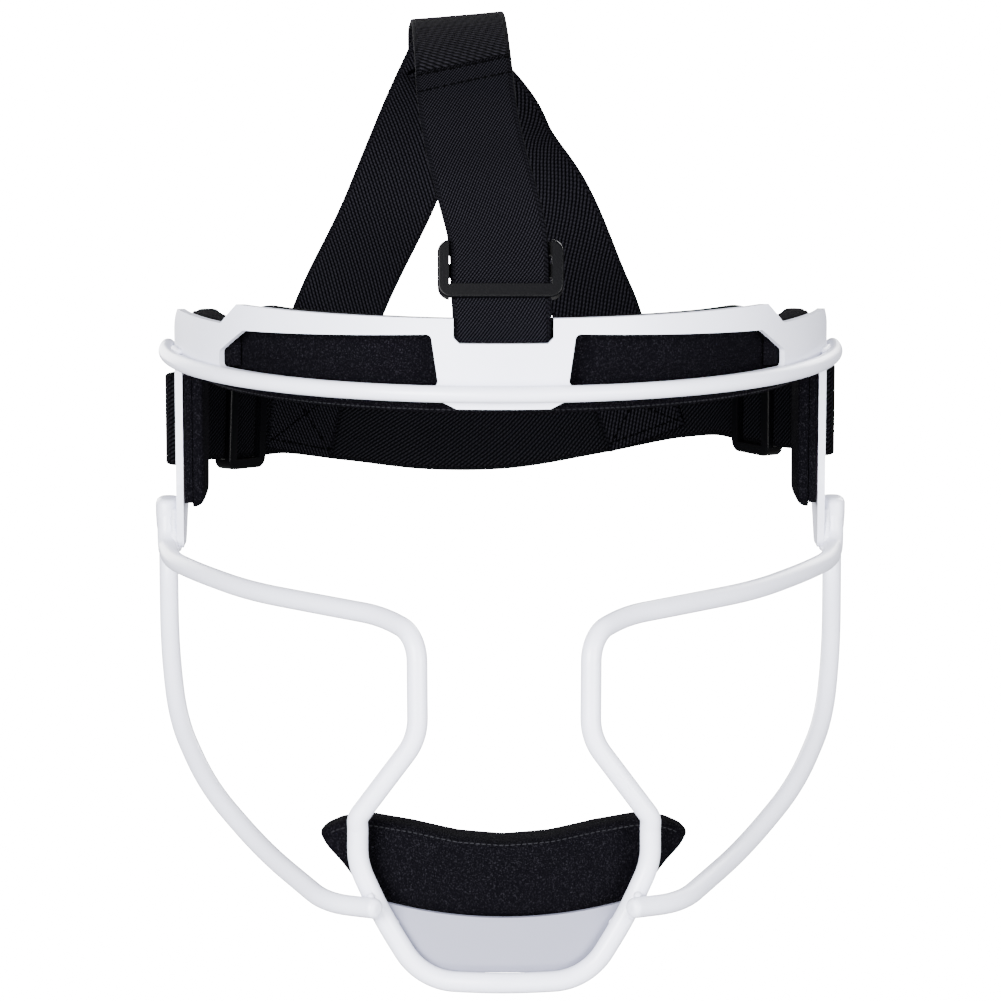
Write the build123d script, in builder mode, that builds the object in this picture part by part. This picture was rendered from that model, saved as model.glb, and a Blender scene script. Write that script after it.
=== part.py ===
from build123d import *
import os
from math import asin, atan2, cos, degrees, radians, sin, tan

os.makedirs("parts", exist_ok=True)

# Softball face guard: a wire cage on a pressed brow band, worn on the front of the head.
# The origin is the middle of the head in the plane of the brow ring, -Y is forward, +Z is up.
# All sizes are in millimetres.

# Frame
frame_half_width = 92.2  # outer face of the temple plates
frame_half_depth = 101.6  # outer face of the forehead plate
brow_front_share = 1.0517  # forehead arc's radius, of that of an ellipse as wide and deep as the frame
sheet = 2.0  # pressed steel of the brow band
brow_wire = 4.4
cage_wire = 5.4
cage_drop = 151.2  # brow ring down to the middle of the chin bow's bottom bar
weld_gap = 0.1  # between wires that the weld beads join
overrun = 10.0  # how far a cutter passes the faces that it cuts

# Forehead plate, heights from the brow ring
rail_top = 19.4
rail_end_share = 0.643  # of the frame's half depth, where the rail steps down to the ears
ear_top = 13.5
ear_start_share = 0.573
ear_corner_share = 0.218  # where the ear's top slopes down
ear_rear = 8.5  # behind the origin, at the plate's lower edge
band_bottom = -1.5
lip_bottom = -4.2
lip_half_width = 15.6
lip_chamfer = 3.4
window_middle_share = 0.547  # of the frame's half width, out from the middle
notch_play = 0.3  # either side of the top strap
notch_bottom = 12.9
notch_chamfer = 1.5
corner_round = 2.0
window_shares = [(-0.3866, 0.0825), (0.405, 0.0825), (0.405, 0.31), (0.281, 0.65), (-0.3665, 0.785)]

# Temple plates
temple_front = 11.0
temple_rear = 13.0
temple_bottom = 57.0
temple_foot_half_width = 6.0
slot_start = 1.4
slot_width = 5.8
slot_play = 2.1  # above and below the web

# Chin plate
chin_sheet = 1.5
chin_plate_height = 18.3
chin_plate_dip = 3.7
chin_plate_lift = 1.9  # lower edge above the middle of the bow's bottom bar
chin_plate_setback = 4.3  # outer face behind the middle of the bow's bottom bar

# Pads
pad_gap = 3.0  # room for webbing and fixing tape between a plate and its pad
pad_cover = 0.9
forehead_pad_thickness = 8.5
forehead_pad_top = 19.2
forehead_pad_step = 0.66  # height behind the ears, of the top's
forehead_pad_bottom = -5.4
forehead_pad_end = 13.6  # in front of the origin
temple_pad_thickness = 3.8
temple_pad_top = 10.0
temple_pad_bottom = 45.5
chin_pad_half_width = 49.0
chin_pad_depth = 19.5
chin_pad_height = 32.5
chin_pad_lift = 5.3  # lower edge above the plate's lower edge
tape = 2.2  # hook and loop fixing tape, both halves closed
tape_margin = 0.4  # clearance either side of the tape

# Harness
web_width = 25.4
web = 1.6
web_play = 0.25  # either side of the web inside a slide
stitch_gap = 0.15  # between layers of webbing that are sewn together
harness_depth = 74.5  # back of the rear strap behind the origin
harness_height = 94.0  # top strap above the brow ring
left_strap_drop = 21.6  # strap's middle below the brow ring at the left temple
right_strap_drop = 19.0
lobe = 2.9  # how far the webbing loop stands out from the temple plate
top_strap_seat = 2.0  # middle of the top strap behind the forehead plate's inner face
top_strap_aside = 0.2  # foot of the top strap to the wearer's left of the middle
top_strap_knee = 20.9  # height where the strap clears the plate and leans back
top_strap_straight = 33.5
top_strap_lean = 4.8  # degrees, to the wearer's right
top_strap_rake = 16.0  # degrees, back from upright
apex_rake = 51.7  # degrees, slope of the crown seam down to the back
left_crown_lean = 24.0  # degrees, in the plane of the crown seam
right_crown_lean = 36.0
crown_lap = 4.0  # crown straps past the middle of the seam
crown_lead = 25.0  # crown straps lie flat this far before the seam

# Strap slides
slide_bar = 3.5
slide_layer = 1.8
slide_side = 3.0
slide_play = 0.7  # either side of the web's edges
slide_corner = 3.4
slide_edge = 0.6
top_slide_length = 15.2
top_slide_place = 11.1  # middle of the slide along the straight of the top strap
rear_slide_length = 18.4
rear_slide_place = 23.4  # middle of each rear slide along the straight of its strap

# Worked out from the sizes above
brow_front_radius = brow_front_share * frame_half_width**2 / frame_half_depth
side_radius = (frame_half_width**2 + frame_half_depth**2 - 2 * frame_half_depth * brow_front_radius) / (
    2 * (frame_half_width - brow_front_radius)
)
side_shift = side_radius - frame_half_width
front_centre = brow_front_radius - frame_half_depth
junction_angle = degrees(atan2(abs(front_centre), abs(side_shift)))
pad_face = -(sheet + pad_gap)
notch_half_width = web_width / 2 + notch_play
slot_height = web_width + 2 * slot_play
slot_middle = -(left_strap_drop + right_strap_drop) / 2
slide_window = web_width + 2 * slide_play


def save(piece, label):
    """Labels a finished piece and writes its STEP file."""
    piece.label = label
    export_step(piece, f"parts/{label}.step")


def brow_path(growth, rear):
    """Path parallel to the brow band's outer face, round the front from y = rear to y = rear."""
    side = side_radius + growth
    turn = degrees(asin(rear / side))
    with BuildLine() as path:
        CenterArc((side_shift, 0), side, 180 - turn, turn + junction_angle)
        CenterArc((0, front_centre), brow_front_radius + growth, 180 + junction_angle, 180 - 2 * junction_angle)
        CenterArc((-side_shift, 0), side, -junction_angle, junction_angle + turn)
    return path.line


def brow_band(outer, inner, rear):
    """Flat band between two parallels of the brow path."""
    outside = brow_path(outer, rear)
    inside = brow_path(inner, rear)
    with BuildSketch() as band:
        with BuildLine():
            add(outside)
            add(inside)
            Line(outside @ 0, inside @ 0)
            Line(outside @ 1, inside @ 1)
        make_face()
    return band.sketch


def temple_band(outer, inner, front, rear):
    """Flat strip of the left temple arc between y = front and y = rear."""
    lines = []
    for growth in (outer, inner):
        side = side_radius + growth
        first = degrees(asin(rear / side))
        last = degrees(asin(front / side))
        with BuildLine() as arc:
            CenterArc((side_shift, 0), side, 180 - first, first - last)
        lines.append(arc.line)
    with BuildSketch() as strip:
        with BuildLine():
            add(lines[0])
            add(lines[1])
            Line(lines[0] @ 0, lines[1] @ 0)
            Line(lines[0] @ 1, lines[1] @ 1)
        make_face()
    return strip.sketch


def bend_radii(points):
    """Largest tangent arcs that the runs of a bent bar leave room for."""
    radii = []
    for before, corner, after in zip(points, points[1:], points[2:]):
        run_in = Vector(*corner) - Vector(*before)
        run_out = Vector(*after) - Vector(*corner)
        turn = run_in.get_angle(run_out)
        radii.append(0.45 * min(run_in.length, run_out.length) / tan(radians(turn / 2)))
    return radii


def bent_bar(points, diameter, round_ends):
    """Round bar along straight runs joined by tangent arcs, with the chosen ends rounded over."""
    with BuildPart() as bar:
        with BuildLine() as path:
            FilletPolyline(*points, radius=bend_radii(points))
        with BuildSketch(Plane(origin=path.line @ 0, z_dir=path.line % 0)):
            Circle(diameter / 2)
        sweep(path=path.line)
        for end in round_ends:
            rim = bar.edges().filter_by(GeomType.CIRCLE).sort_by_distance(path.line @ end)[0]
            fillet(rim, radius=diameter / 3)
    return bar.part


def cage_points(shares):
    """Places on the cage from shares of the frame's half width, half depth and drop."""
    return [(x * frame_half_width, y * frame_half_depth, z * cage_drop) for x, y, z in shares]


# Brow ring, a round wire along the outer face of the brow band
with BuildPart() as brow_ring:
    with BuildLine() as ring_path:
        add(brow_path(brow_wire / 2 + weld_gap, brow_wire))
    with BuildSketch(Plane(origin=ring_path.line @ 0, z_dir=ring_path.line % 0)):
        Circle(brow_wire / 2)
    sweep(path=ring_path.line)
    ring_rims = brow_ring.edges().filter_by(GeomType.CIRCLE).sort_by(Axis.Y)[-2:]
    fillet(ring_rims, radius=brow_wire / 3)
save(brow_ring.part, "brow_ring")

# Forehead plate, pressed from sheet: a rail over two long windows, a bridge and two ears
rail_end_y = -rail_end_share * frame_half_depth
ear_start_y = -ear_start_share * frame_half_depth
ear_corner_y = -ear_corner_share * frame_half_depth
window_angle = degrees(asin(window_middle_share * frame_half_width / brow_front_radius))
with BuildPart() as forehead_plate:
    with BuildSketch(Plane.XY.offset(lip_bottom)):
        add(brow_band(0, -sheet, ear_rear))
    extrude(amount=rail_top - lip_bottom)
    with BuildSketch(Plane.YZ):
        with BuildLine():
            Polyline(
                (rail_end_y, rail_top + overrun),
                (rail_end_y, rail_top),
                (ear_start_y, ear_top),
                (ear_corner_y, ear_top),
                (ear_rear, band_bottom),
                (ear_rear + overrun, band_bottom),
                (ear_rear + overrun, rail_top + overrun),
                close=True,
            )
        make_face()
        fillet(vertices().group_by(Axis.X)[1].sort_by(Axis.Y)[-1:], radius=corner_round)
        fillet(vertices().sort_by_distance((ear_corner_y, ear_top))[:1], radius=2 * corner_round)
    extrude(amount=frame_half_width + overrun, both=True, mode=Mode.SUBTRACT)
    with BuildSketch(Plane.XZ):
        with Locations((0, (lip_bottom + band_bottom) / 2 - overrun)):
            Rectangle(2 * (frame_half_width + overrun), band_bottom - lip_bottom + 2 * overrun)
        with BuildLine():
            Polyline(
                (-lip_half_width, band_bottom + overrun),
                (-lip_half_width, lip_bottom + 0.6 * (band_bottom - lip_bottom)),
                (lip_chamfer - lip_half_width, lip_bottom),
                (lip_half_width - lip_chamfer, lip_bottom),
                (lip_half_width, lip_bottom + 0.6 * (band_bottom - lip_bottom)),
                (lip_half_width, band_bottom + overrun),
                close=True,
            )
        make_face(mode=Mode.SUBTRACT)
    extrude(amount=frame_half_depth + overrun, both=True, mode=Mode.SUBTRACT)
    for direction in (-window_angle, window_angle):
        facing = Vector(sin(radians(direction)), -cos(radians(direction)), 0)
        across = Vector(cos(radians(direction)), sin(radians(direction)), 0)
        outward = 1 if direction > 0 else -1
        face_plane = Plane(origin=(0, front_centre, 0), x_dir=across, z_dir=facing)
        with BuildSketch(face_plane):
            with BuildLine():
                Polyline(*[(x * outward * frame_half_width, z * rail_top) for x, z in window_shares], close=True)
            make_face()
            fillet(vertices(), radius=0.7 * corner_round)
        extrude(amount=brow_front_radius + overrun, mode=Mode.SUBTRACT)
    with BuildSketch(Plane.XZ):
        with BuildLine():
            Polyline(
                (-notch_half_width, rail_top + overrun),
                (-notch_half_width, notch_bottom + notch_chamfer),
                (notch_chamfer - notch_half_width, notch_bottom),
                (notch_half_width - notch_chamfer, notch_bottom),
                (notch_half_width, notch_bottom + notch_chamfer),
                (notch_half_width, rail_top + overrun),
                close=True,
            )
        make_face()
    extrude(amount=frame_half_depth + overrun, mode=Mode.SUBTRACT)
save(forehead_plate.part, "forehead_plate")

# Temple plates, welded under the ears, with an upright slot for the webbing
for side in ("left", "right"):
    with BuildPart() as temple_plate:
        with BuildSketch(Plane.XY.offset(-temple_bottom)):
            add(temple_band(0, -sheet, -temple_front, temple_rear))
        extrude(amount=temple_bottom + band_bottom)
        with BuildSketch(Plane.YZ):
            with BuildLine():
                Polyline(
                    (-temple_front, band_bottom),
                    (-temple_front, -0.66 * temple_bottom),
                    (-temple_foot_half_width, -temple_bottom),
                    (temple_foot_half_width, -temple_bottom),
                    (temple_rear, -0.72 * temple_bottom),
                    (temple_rear, band_bottom),
                    close=True,
                )
            make_face()
            fillet(vertices().sort_by(Axis.Y)[:4], radius=1.5 * corner_round)
            with Locations((slot_start + slot_width / 2, slot_middle)):
                RectangleRounded(slot_width, slot_height, 0.7 * corner_round, mode=Mode.SUBTRACT)
        extrude(amount=frame_half_width + overrun, both=True, mode=Mode.INTERSECT)
        if side == "right":
            mirror(about=Plane.YZ, mode=Mode.REPLACE)
    save(temple_plate.part, f"temple_plate_{side}")

# Cage bars, round wire bent to shape, each side the mirror of the other
bar_line = 1 + (cage_wire / 2 + weld_gap) / frame_half_width
cheek_shares = [
    (-bar_line, -0.026, -0.303),
    (-bar_line, -0.045, -0.374),
    (-1.0, -0.23, -0.379),
    (-0.905, -0.44, -0.377),
    (-0.74, -0.68, -0.382),
    (-0.53, -0.89, -0.38),
    (-0.345, -1.05, -0.381),
    (-0.244, -1.165, -0.4),
    (-0.243, -1.182, -0.5),
    (-0.242, -1.195, -0.575),
    (-0.413, -1.172, -0.718),
    (-0.412, -1.165, -0.738),
]
jaw_shares = [
    (-bar_line, 0.028, -0.303),
    (-bar_line, 0.016, -0.42),
    (-1.02, -0.1, -0.56),
    (-0.985, -0.26, -0.677),
    (-0.88, -0.51, -0.763),
    (-0.7, -0.79, -0.838),
    (-0.503, -1.147, -0.872),
    (-0.352, -1.255, -0.864),
]
bow_shares = [
    (-0.412, -1.165, -0.738),
    (-0.413, -1.16, -0.8),
    (-0.344, -1.183, -0.89),
    (-0.232, -1.21, -0.998),
    (0.0, -1.238, -1.0),
    (0.232, -1.21, -0.998),
    (0.344, -1.183, -0.89),
    (0.413, -1.16, -0.8),
    (0.412, -1.165, -0.738),
]
for side in ("left", "right"):
    with BuildPart() as cheek_bar:
        add(bent_bar(cage_points(cheek_shares), cage_wire, [0]))
        if side == "right":
            mirror(about=Plane.YZ, mode=Mode.REPLACE)
    save(cheek_bar.part, f"cheek_bar_{side}")
    with BuildPart() as jaw_bar:
        add(bent_bar(cage_points(jaw_shares), cage_wire, [0, 1]))
        if side == "right":
            mirror(about=Plane.YZ, mode=Mode.REPLACE)
    save(jaw_bar.part, f"jaw_bar_{side}")
with BuildPart() as chin_bow:
    add(bent_bar(cage_points(bow_shares), cage_wire, []))
save(chin_bow.part, "chin_bow")

leg_top, leg_middle, leg_foot, bow_middle = cage_points(bow_shares)[1:5]
chin_plate_front = -bow_middle[1] - chin_plate_setback
chin_plate_bottom = cage_drop - chin_plate_lift
chin_plate_top = chin_plate_bottom - chin_plate_height
chin_pad_bottom = chin_plate_bottom - chin_pad_lift
chin_pad_top = chin_pad_bottom - chin_pad_height


def leg_place(drop):
    """How far out and forward the middles of the chin bow's legs are, at a drop below the brow ring."""
    share = (-drop - leg_top[2]) / (leg_middle[2] - leg_top[2])
    return [-start - share * (end - start) for start, end in zip(leg_top, leg_middle)][:2]


chin_plate_top_half_width, leg_front = leg_place(chin_plate_top)
chin_plate_foot_half_width = -leg_foot[0] - chin_sheet
chin_plate_sagitta = chin_plate_front - leg_front + cage_wire / 2 + weld_gap
chin_plate_radius = (chin_plate_top_half_width**2 + chin_plate_sagitta**2) / (2 * chin_plate_sagitta)
print(f"chin plate radius {chin_plate_radius:.2f}")


def chin_band(front, back, half_width):
    """Flat band between two arcs of the chin plate's centre, front and back of y = 0 outwards."""
    centre = chin_plate_radius - chin_plate_front
    turn = degrees(asin(half_width / (chin_plate_radius - (chin_plate_front - back))))
    with BuildSketch() as band:
        with BuildLine():
            outer = CenterArc((0, centre), chin_plate_radius - (chin_plate_front - front), 270 - turn, 2 * turn)
            inner = CenterArc((0, centre), chin_plate_radius - (chin_plate_front - back), 270 - turn, 2 * turn)
            Line(outer @ 0, inner @ 0)
            Line(outer @ 1, inner @ 1)
        make_face()
    return band.sketch


# Chin plate, a curved sheet tacked behind the chin bow
with BuildPart() as chin_plate:
    with BuildSketch(Plane.XY.offset(-chin_plate_bottom)):
        add(chin_band(chin_plate_front, chin_plate_front - chin_sheet, chin_plate_top_half_width))
    extrude(amount=chin_plate_bottom - chin_plate_top)
    with BuildSketch(Plane.XZ):
        with BuildLine():
            ThreePointArc(
                (-chin_plate_top_half_width, -chin_plate_top),
                (0, -chin_plate_top - chin_plate_dip),
                (chin_plate_top_half_width, -chin_plate_top),
            )
            Polyline(
                (chin_plate_top_half_width, -chin_plate_top),
                (chin_plate_foot_half_width, -chin_plate_bottom),
                (-chin_plate_foot_half_width, -chin_plate_bottom),
                (-chin_plate_top_half_width, -chin_plate_top),
            )
        make_face()
        fillet(vertices().group_by(Axis.Y)[0], radius=2 * corner_round)
    extrude(amount=chin_plate_front + overrun, mode=Mode.INTERSECT)
save(chin_plate.part, "chin_plate")


def forehead_pad(inset):
    """Forehead pad drawn in by inset all round, lower behind the ears of the plate."""
    top = forehead_pad_top - inset
    back = pad_face - forehead_pad_thickness
    with BuildPart() as pad:
        with BuildSketch(Plane.XY.offset(forehead_pad_bottom + inset)):
            add(brow_band(pad_face - inset, back + inset, -forehead_pad_end - inset))
        extrude(amount=top - forehead_pad_bottom - inset)
        with BuildSketch(Plane.YZ):
            with BuildLine():
                Polyline(
                    (rail_end_y, top + overrun),
                    (rail_end_y, top),
                    (ear_start_y, forehead_pad_step * top),
                    (overrun, forehead_pad_step * top),
                    (overrun, top + overrun),
                    close=True,
                )
            make_face()
        extrude(amount=frame_half_width, both=True, mode=Mode.SUBTRACT)
        fillet(pad.faces().sort_by(Axis.Z)[0].edges(), radius=0.25 * forehead_pad_thickness)
    return pad.part


def temple_pad(inset):
    """Left temple pad drawn in by inset all round, with rounded lower corners."""
    back = pad_face - temple_pad_thickness
    with BuildPart() as pad:
        with BuildSketch(Plane.XY.offset(inset - temple_pad_bottom)):
            add(temple_band(pad_face - inset, back + inset, inset - temple_front, temple_rear - inset))
        extrude(amount=temple_pad_bottom + temple_pad_top - 2 * inset)
        lower_edges = pad.edges().filter_by(Axis.X, tolerance=20).group_by(Axis.Z)[0]
        fillet(lower_edges, radius=0.35 * temple_front)
        fillet(pad.faces().sort_by(Axis.X)[-1].edges(), radius=0.3 * temple_pad_thickness)
    return pad.part


def chin_pad(inset):
    """Chin pad drawn in by inset all round, a curved cushion with a dipped top and drawn-in tips."""
    front = chin_plate_front - chin_sheet - pad_gap
    half = chin_pad_half_width - inset
    top = -chin_pad_top - inset
    foot = -chin_pad_bottom + inset
    with BuildPart() as pad:
        with BuildSketch(Plane.XY.offset(foot)):
            with BuildLine():
                nose = CenterArc(
                    (0, chin_plate_radius - chin_plate_front),
                    chin_plate_radius - (chin_plate_front - front) - inset,
                    270 - degrees(asin(half / (chin_plate_radius - chin_plate_front + front))),
                    2 * degrees(asin(half / (chin_plate_radius - chin_plate_front + front))),
                )
                back = ThreePointArc(
                    (nose @ 1) + (0, 0.42 * chin_pad_depth - inset),
                    (0, chin_pad_depth - front - inset),
                    (nose @ 0) + (0, 0.42 * chin_pad_depth - inset),
                )
                Line(nose @ 1, back @ 0)
                Line(back @ 1, nose @ 0)
            make_face()
        extrude(amount=top - foot)
        with BuildSketch(Plane.XZ):
            with BuildLine():
                ThreePointArc((-0.55 * half, 1.02 * top), (0, 1.045 * top), (0.55 * half, 1.02 * top))
                Polyline(
                    (0.55 * half, 1.02 * top),
                    (0.78 * half, top),
                    (half, 1.025 * top),
                    (half, 1.055 * top),
                    (0.81 * half, 0.9 * foot),
                    (0.56 * half, foot),
                    (-0.56 * half, foot),
                    (-0.81 * half, 0.9 * foot),
                    (-half, 1.055 * top),
                    (-half, 1.025 * top),
                    (-0.78 * half, top),
                    (-0.55 * half, 1.02 * top),
                )
            make_face()
        extrude(amount=frame_half_depth + chin_pad_depth + overrun, mode=Mode.INTERSECT)
    return pad.part


# Pads, each a foam core inside a sewn fabric cover
with BuildPart() as forehead_pad_cover:
    add(forehead_pad(0))
    add(forehead_pad(pad_cover), mode=Mode.SUBTRACT)
save(forehead_pad_cover.part, "forehead_pad_cover")
with BuildPart() as forehead_pad_foam:
    add(forehead_pad(pad_cover))
save(forehead_pad_foam.part, "forehead_pad_foam")
with BuildPart() as chin_pad_cover:
    add(chin_pad(0))
    add(chin_pad(pad_cover), mode=Mode.SUBTRACT)
save(chin_pad_cover.part, "chin_pad_cover")
with BuildPart() as chin_pad_foam:
    add(chin_pad(pad_cover))
save(chin_pad_foam.part, "chin_pad_foam")
for side in ("left", "right"):
    with BuildPart() as temple_pad_cover:
        add(temple_pad(0))
        add(temple_pad(pad_cover), mode=Mode.SUBTRACT)
        if side == "right":
            mirror(about=Plane.YZ, mode=Mode.REPLACE)
    save(temple_pad_cover.part, f"temple_pad_cover_{side}")
    with BuildPart() as temple_pad_foam:
        add(temple_pad(pad_cover))
        if side == "right":
            mirror(about=Plane.YZ, mode=Mode.REPLACE)
    save(temple_pad_foam.part, f"temple_pad_foam_{side}")

# Fixing tape between the plates and the pads
tape_face = -(sheet + tape_margin)
for side in ("left", "right"):
    with BuildPart() as ear_tape:
        with BuildSketch(Plane.XY.offset(0.15 * ear_top)):
            add(temple_band(tape_face, tape_face - tape, ear_start_y, ear_corner_y))
        extrude(amount=0.7 * ear_top)
        if side == "right":
            mirror(about=Plane.YZ, mode=Mode.REPLACE)
    save(ear_tape.part, f"ear_tape_{side}")
    with BuildPart() as temple_tape:
        with BuildSketch(Plane.XY.offset(-0.95 * temple_pad_bottom)):
            add(temple_band(tape_face, tape_face - tape, -0.9 * temple_front, 0.0))
        extrude(amount=0.85 * temple_pad_bottom)
        if side == "right":
            mirror(about=Plane.YZ, mode=Mode.REPLACE)
    save(temple_tape.part, f"temple_tape_{side}")
with BuildPart() as chin_tape:
    chin_tape_front = chin_plate_front - chin_sheet - tape_margin
    with BuildSketch(Plane.XY.offset(-chin_pad_bottom)):
        add(chin_band(chin_tape_front, chin_tape_front - tape, 0.7 * chin_plate_foot_half_width))
    extrude(amount=chin_pad_bottom - chin_plate_top - chin_plate_dip)
save(chin_tape.part, "chin_tape")


apex_shares = (-0.146, 0.416, 0.862)


def ribbon(stations, level=False):
    """Flat webbing lofted through rectangles; a station is a centre and the direction across the web.
    A level band keeps that direction where it climbs, so that its bends stay upright.
    """
    centres = [centre for centre, across in stations]
    runs = [(end - start).normalized() for start, end in zip(centres, centres[1:])]
    with BuildPart() as band:
        for (centre, across), run_in, run_out in zip(stations, [runs[0], *runs], [*runs, runs[-1]]):
            along = run_in + run_out
            if level:
                along -= across * across.dot(along)
            else:
                across -= along.normalized() * across.dot(along.normalized())
            with BuildSketch(Plane(origin=centre, x_dir=across, z_dir=along)):
                Rectangle(web_width, web)
        loft(ruled=True)
    return band.part


def harness_place(shares):
    """A place on the harness from shares of the frame's half width, the harness depth and its height."""
    x, y, z = shares
    return Vector(x * frame_half_width, y * harness_depth, z * harness_height)


# Rear strap, from inside one temple plate round the back to the other
upright = Vector(0, 0, 1)
strap_start_x = frame_half_width - sheet - 1.4 * web
strap_start_y = temple_rear + 0.55 * web
rear_strap_shares = [
    (-0.7105, 0.662, -0.26),
    (-0.475, 0.877, -0.313),
    (-0.217, 0.964, -0.352),
    (0.0, 1.0, -0.355),
    (0.309, 0.937, -0.298),
    (0.58, 0.785, -0.229),
    (0.7105, 0.662, -0.204),
]
rear_places = [Vector(-strap_start_x, strap_start_y, -left_strap_drop)]
rear_places += [harness_place(shares) for shares in rear_strap_shares]
rear_places += [Vector(strap_start_x, strap_start_y, -right_strap_drop)]
with BuildPart() as rear_strap:
    add(ribbon([(place, upright) for place in rear_places], level=True))
save(rear_strap.part, "rear_strap")

# Temple loops, the strap's ends turned out through the slots and sewn back on
slot_line = slot_start + slot_width / 2
for side, drop in (("left", left_strap_drop), ("right", right_strap_drop)):
    start = Vector(-strap_start_x, strap_start_y)
    ahead = Vector(-abs(rear_places[1].X), rear_places[1].Y) - start
    ahead = ahead.normalized()
    outward = Vector(-ahead.Y, ahead.X) * (web + stitch_gap)
    with BuildPart() as temple_loop:
        with BuildSketch(Plane.XY.offset(-drop - web_width / 2)):
            with BuildLine():
                FilletPolyline(
                    start - (0.2 * web, 0.3 * web),
                    (web * 0.8 + sheet - frame_half_width, slot_line),
                    (-frame_half_width - lobe, slot_line),
                    (0.75 * web - frame_half_width - lobe, temple_rear + 1.4 * web),
                    start + ahead * 3 * web + outward,
                    start + ahead * 7.2 * web + outward,
                    radius=[0.75 * web, 1.5 * web, 2.5 * web, 2 * web],
                )
            trace(line_width=web)
        extrude(amount=web_width)
        if side == "right":
            mirror(about=Plane.YZ, mode=Mode.REPLACE)
    save(temple_loop.part, f"temple_loop_{side}")

# Crown straps, sewn inside the rear strap and rising to the seam at the apex
apex = harness_place(apex_shares)
apex_down = Vector(0, cos(radians(apex_rake)), -sin(radians(apex_rake)))
apex_out = Vector(0, sin(radians(apex_rake)), cos(radians(apex_rake)))
seam_layer = web + 3 * stitch_gap
crown_middle_shares = {
    "left": [((-0.513, 0.81, 0.0585), (1, 0.35, 0)), ((-0.348, 0.671, 0.394), (1, 0.0, 0))],
    "right": [
        ((0.294, 0.92, 0.053), (1, -0.3, 0)),
        ((0.1485, 0.752, 0.394), (1, -0.05, 0)),
        ((0.04, 0.644, 0.574), (1, 0.0, 0)),
    ],
}
crown_seats = {"left": rear_places[1:3], "right": rear_places[5:7]}
for side, lean, depth in (("left", left_crown_lean, seam_layer), ("right", -right_crown_lean, 2 * seam_layer)):
    seat_start, seat_end = crown_seats[side]
    along_seat = Vector(seat_end.X - seat_start.X, seat_end.Y - seat_start.Y).normalized()
    inward = Vector(along_seat.Y, -along_seat.X) * (web + stitch_gap)
    foot = (seat_start + seat_end) * 0.5 + inward
    rise = Vector(sin(radians(lean)), 0, 0) - apex_down * cos(radians(lean))
    across = apex_out.cross(rise)
    seam = apex - apex_out * depth
    stations = [(foot - upright * 0.45 * web_width, along_seat), (foot + upright * 0.72 * web_width, along_seat)]
    stations += [(harness_place(shares), Vector(*hint)) for shares, hint in crown_middle_shares[side]]
    stations += [(seam - rise * crown_lead, across), (seam + rise * crown_lap, across)]
    with BuildPart() as crown_strap:
        add(ribbon(stations))
    save(crown_strap.part, f"crown_strap_{side}")

# Top strap, from behind the forehead plate over the crown to the apex
sideways = Vector(1, 0, 0)
strap_up = Vector(0, sin(radians(top_strap_rake)), cos(radians(top_strap_rake)))
strap_out = Vector(0, -cos(radians(top_strap_rake)), sin(radians(top_strap_rake)))
strap_run = strap_up * cos(radians(top_strap_lean)) - sideways * sin(radians(top_strap_lean))
strap_across = sideways * cos(radians(top_strap_lean)) + strap_up * sin(radians(top_strap_lean))
knee = Vector(top_strap_aside, top_strap_seat + sheet - frame_half_depth, top_strap_knee)
top_strap_shares = [
    (-0.05, -0.812, 0.66),
    (-0.0825, -0.723, 0.777),
    (-0.107, -0.59, 0.883),
    (-0.124, -0.374, 0.968),
    (-0.1345, -0.098, 1.0),
    (-0.142, 0.118, 0.9745),
]
top_stations = [(Vector(knee.X, knee.Y, 3 * band_bottom), sideways), (knee, sideways)]
top_stations += [(knee + strap_run * 0.06 * top_strap_straight, strap_across)]
top_stations += [(knee + strap_run * top_strap_straight, strap_across)]
top_stations += [
    (Vector(x * frame_half_width, y * frame_half_depth, z * harness_height), sideways)
    for x, y, z in top_strap_shares
]
top_stations += [(apex - apex_down * 2 * crown_lap, sideways), (apex + apex_down * 2.5 * crown_lap, sideways)]
with BuildPart() as top_strap:
    add(ribbon(top_stations))
save(top_strap.part, "top_strap")


def strap_slide(place, length, front_bars, back_bars):
    """Moulded slide round a straight web; bars lie before or behind it at shares of the half length."""
    channel = web + 2 * web_play
    depth = channel + 2 * slide_layer
    with BuildPart() as slide:
        with BuildSketch(place.offset(-depth / 2)):
            RectangleRounded(slide_window + 2 * slide_side, length, slide_corner)
        extrude(amount=depth)
        rims = slide.faces().filter_by(place).edges()
        fillet(rims, radius=slide_edge)
        with BuildSketch(place.offset(-channel / 2)):
            Rectangle(slide_window, length + overrun)
        extrude(amount=channel, mode=Mode.SUBTRACT)
        for level, bars in ((channel / 2, front_bars), (-channel / 2 - 2 * slide_layer, back_bars)):
            with BuildSketch(place.offset(level)):
                Rectangle(slide_window, length + overrun)
                for bar in bars:
                    with Locations((0, bar * (length - slide_bar) / 2)):
                        Rectangle(slide_window, slide_bar, mode=Mode.SUBTRACT)
            extrude(amount=2 * slide_layer, mode=Mode.SUBTRACT)
    return slide.part


# Strap slides, one on the top strap and one on each side of the rear strap
with BuildPart() as top_slide:
    top_place = Plane(origin=knee + strap_run * top_slide_place, x_dir=sideways, z_dir=strap_out)
    add(strap_slide(top_place, top_slide_length, (-1,), (0, 1)))
save(top_slide.part, "top_slide")
for side, start, end in (("left", rear_places[0], rear_places[1]), ("right", rear_places[-1], rear_places[-2])):
    run = (end - start).normalized()
    level_run = Vector(run.X, run.Y).normalized()
    inward = Vector(level_run.Y, -level_run.X) * (1 if side == "left" else -1)
    with BuildPart() as rear_slide:
        square = upright - run * upright.dot(run)
        rear_place = Plane(origin=start + run * rear_slide_place, x_dir=square, z_dir=inward)
        add(strap_slide(rear_place, rear_slide_length, (-1, 1), (0,)))
    save(rear_slide.part, f"rear_slide_{side}")
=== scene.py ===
import math

import bmesh
import bpy
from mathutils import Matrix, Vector, noise


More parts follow.
